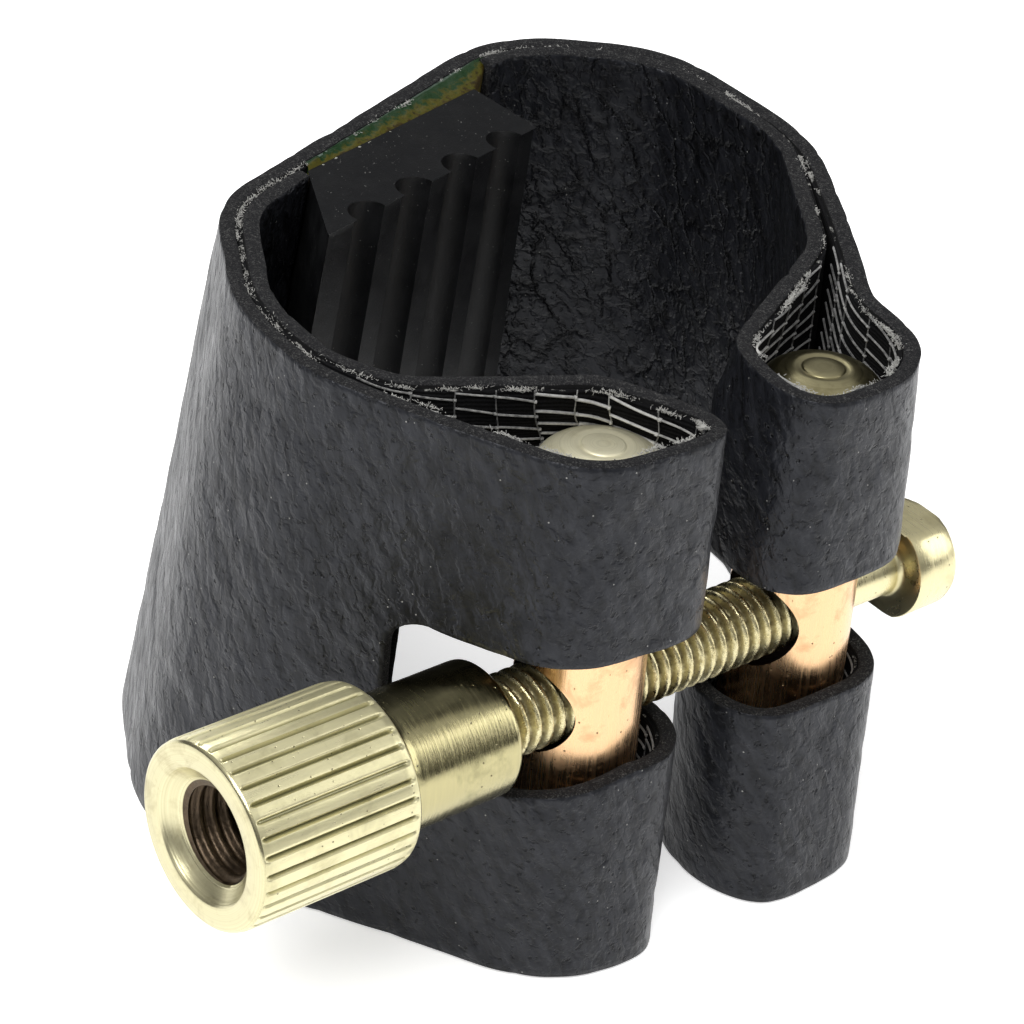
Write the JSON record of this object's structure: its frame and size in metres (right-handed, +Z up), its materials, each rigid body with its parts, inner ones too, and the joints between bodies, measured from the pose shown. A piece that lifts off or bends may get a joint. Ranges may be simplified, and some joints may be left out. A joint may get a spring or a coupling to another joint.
{
  "type": "saxophone ligature",
  "caption": "Folded leather band that clamps a reed to a mouthpiece, drawn tight by a knurled thumb nut and a screw through two brass bars.",
  "frame": {"origin": "centre of the bounding box's bottom face, level with the band's lower rim", "axes": "+Z up the band towards its narrower rim, +X along the clamp screw from the thumb nut to the screw's head, +Y from the bars to the ribbed pad at the back"},
  "size_m": [0.05, 0.0394, 0.027],
  "materials": {
    "leather": "pebble-grained, semi-gloss",
    "knit": "matt",
    "rubber": "satin",
    "adhesive": "semi-gloss",
    "red_brass": "brushed",
    "brass": "turned"
  },
  "bodies": {
    "band": {"leather_strip": "leather", "leather_inner_end": "leather", "backing_strip": "knit", "backing_inner_end": "knit", "ribbed_pad": "rubber", "pad_adhesive": "adhesive", "far_bar": "red_brass"},
    "near_loop": {"leather_near_loop": "leather", "backing_near_loop": "knit", "near_bar": "red_brass"},
    "thumb_nut": {"thumb_nut": "brass"},
    "clamp_screw": {"clamp_screw": "brass"}
  },
  "joints": [
    {"name": "near_slide", "type": "slide", "parent": "band", "child": "near_loop", "axis": [1, 0, 0], "range_m": [-0.0028, 0.0031]},
    {"name": "knob_turn", "type": "hinge", "parent": "near_loop", "child": "thumb_nut", "pos_m": [-0.00429, -0.01299, 0.0126], "axis": [1, 0, 0], "range_deg": [-1440, 1620]},
    {"name": "screw_turn", "type": "hinge", "parent": "band", "child": "clamp_screw", "pos_m": [-0.00429, -0.01299, 0.0126], "axis": [1, 0, 0], "continuous": true}
  ],
  "couplings": [
    {"joint": "knob_turn", "follows": "near_slide", "rad_per_m": 8976}
  ]
}
